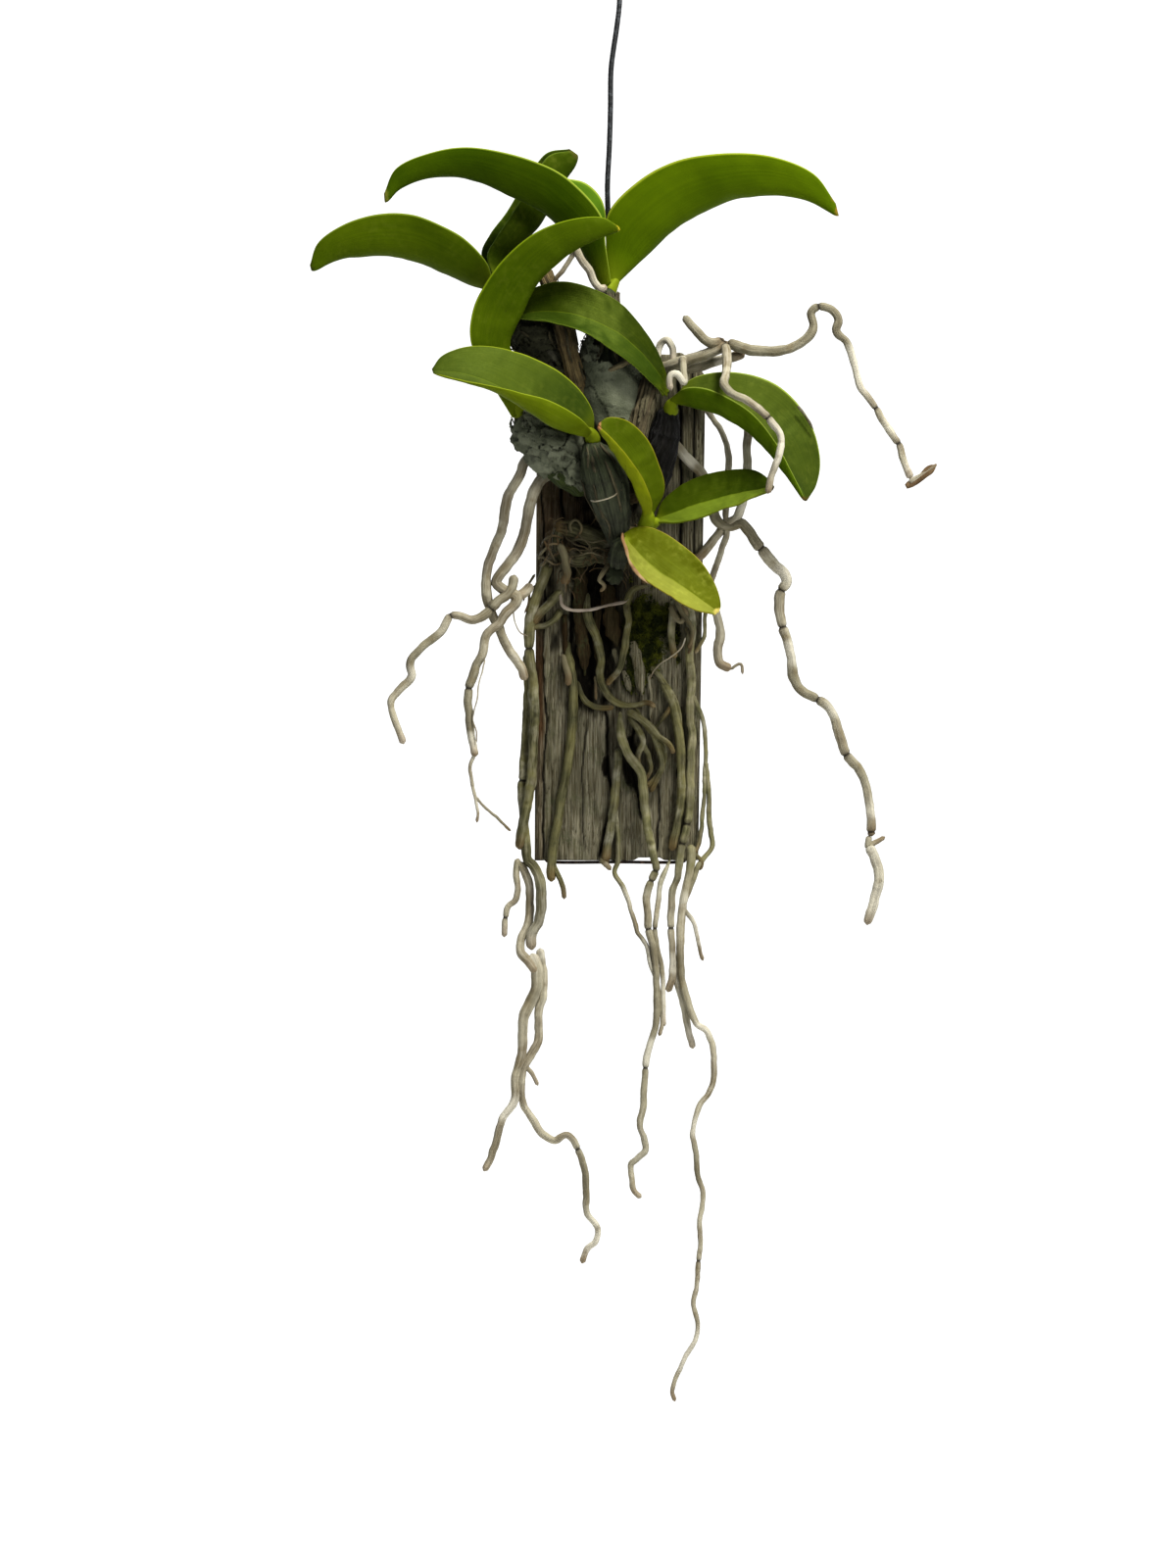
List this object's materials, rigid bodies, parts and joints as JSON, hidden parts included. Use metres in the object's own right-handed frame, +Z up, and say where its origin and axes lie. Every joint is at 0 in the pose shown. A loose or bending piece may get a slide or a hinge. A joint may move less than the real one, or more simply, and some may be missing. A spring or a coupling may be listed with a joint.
{
  "type": "cattleya orchid mounted on hanging wood slab",
  "caption": "Cattleya orchid with arching folded leaves, sheathed pseudobulbs and long trailing aerial roots, grown on a weathered wooden slab that hangs by a black wire.",
  "frame": {"origin": "inside top of the wire hook, where the whole piece hangs", "axes": "+Z up along the hanging length, the plant faces -Y, the flat back of the slab faces +Y"},
  "size_m": [0.2556, 0.0732, 0.6024],
  "materials": {
    "wire": "black coated steel wire, satin",
    "weathered_wood": "grey weathered plank with open grain, cracks and moss",
    "leaf_green": "thick leathery leaf, satin, deep olive green with a pale thin margin",
    "leaf_young": "younger leathery leaf, satin, yellow green",
    "bulb_skin": "grey green wrinkled skin, matt",
    "old_bulb_skin": "old fibrous grey skin, matt",
    "dark_bulb": "dark wrinkled skin, slight sheen",
    "cane": "dry brown ringed cane, matt",
    "papery_sheath": "torn light grey papery sheath, matt",
    "rhizome": "dark mossy rhizome, matt",
    "root_pale": "dry whitish tan velamen, matt",
    "root_mossy": "olive grey roots that cling to the wood, matt",
    "tie": "pale thin strip"
  },
  "bodies": {
    "root": {"hanger_wire": "wire", "bottom_wire": "wire", "slab": "weathered_wood", "leaf_top_left": "leaf_green", "leaf_top_right": "leaf_green", "leaf_left": "leaf_green", "leaf_back": "leaf_green", "leaf_arch": "leaf_green", "leaf_lower_left": "leaf_green", "leaf_center": "leaf_green", "leaf_right": "leaf_green", "leaf_small_right": "leaf_green", "leaf_small_center": "leaf_young", "leaf_bottom": "leaf_young", "bulb_center_back": "bulb_skin", "bulb_left": "bulb_skin", "bulb_front": "bulb_skin", "bulb_small_right": "bulb_skin", "stub_cut": "bulb_skin", "bulb_upper_left": "old_bulb_skin", "bulb_dark": "dark_bulb", "cane_brown": "cane", "cane_tan": "cane", "bulb_small_front": "cane", "old_spike": "cane", "sheath_left": "papery_sheath", "sheath_center": "papery_sheath", "rhizome": "rhizome", "roots_left": "root_pale", "roots_bottom_left": "root_pale", "roots_bottom_center": "root_pale", "roots_right_edge": "root_pale", "roots_top_right": "root_pale", "roots_right": "root_pale", "roots_left_edge": "root_mossy", "root_mossy": "root_mossy", "roots_front": "root_mossy", "tie_strip": "tie"}
  },
  "joints": []
}
